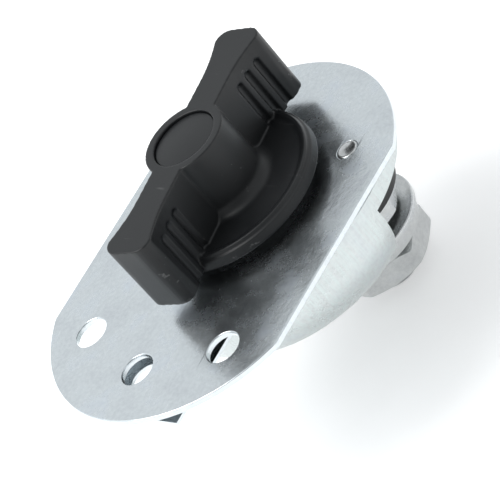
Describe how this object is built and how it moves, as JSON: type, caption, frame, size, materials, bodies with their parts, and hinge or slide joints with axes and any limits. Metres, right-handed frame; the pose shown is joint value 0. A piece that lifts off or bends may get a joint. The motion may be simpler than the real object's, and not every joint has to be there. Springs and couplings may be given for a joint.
{
  "type": "rotary battery isolator",
  "caption": "Rotary battery isolator with a black wing knob on an oblong zinc-plated fixing plate, a half-open pressed bowl, a threaded terminal and an earth strap.",
  "frame": {"origin": "centre of the middle fixing hole at the mounting plate's top face; the spindle axis is at x = 30.6 mm", "axes": "+X along the plate from the fixing holes towards the terminal, +Z out of the plate towards the knob"},
  "size_m": [0.0665, 0.0474, 0.0474],
  "materials": {
    "knob_plastic": "satin moulded",
    "zinc_plate": "bright zinc plated, spangled",
    "zinc_drawn": "zinc plated deep-drawn steel with draw lines",
    "zinc_hardware": "zinc plated fasteners",
    "felt": "felt",
    "steel": "turned",
    "rubber": "matt",
    "brass": "turned",
    "fibre": "pressed fibre",
    "phenolic": "moulded phenolic",
    "copper": "copper",
    "silver": "silver"
  },
  "bodies": {
    "switch_body": {"mounting_plate": "zinc_plate", "earth_strap": "zinc_plate", "index_plate": "zinc_plate", "housing_bowl": "zinc_drawn", "rivets": "zinc_hardware", "terminal_stud": "zinc_hardware", "upper_nut": "zinc_hardware", "flat_washer": "zinc_hardware", "spring_washer": "zinc_hardware", "lower_nut": "zinc_hardware", "knob_seal": "felt", "spindle_bush": "brass", "base_gasket": "fibre", "housing_liner": "fibre", "contact_base": "phenolic"},
    "knob_shaft": {"wing_knob": "knob_plastic", "knob_cap": "knob_plastic", "knob_screw": "zinc_hardware", "knob_washer": "zinc_hardware", "spindle": "steel", "spindle_oring": "rubber", "detent_balls": "steel", "detent_springs": "steel", "rotor": "phenolic", "rotor_clip": "steel", "contact_spring": "steel", "contact_bridge": "copper", "contact_tips": "silver"}
  },
  "joints": [
    {"name": "knob_turn", "type": "hinge", "parent": "switch_body", "child": "knob_shaft", "pos_m": [0.0306, 0, 0], "axis": [0, 0, 1], "range_deg": [-90, 0]}
  ]
}
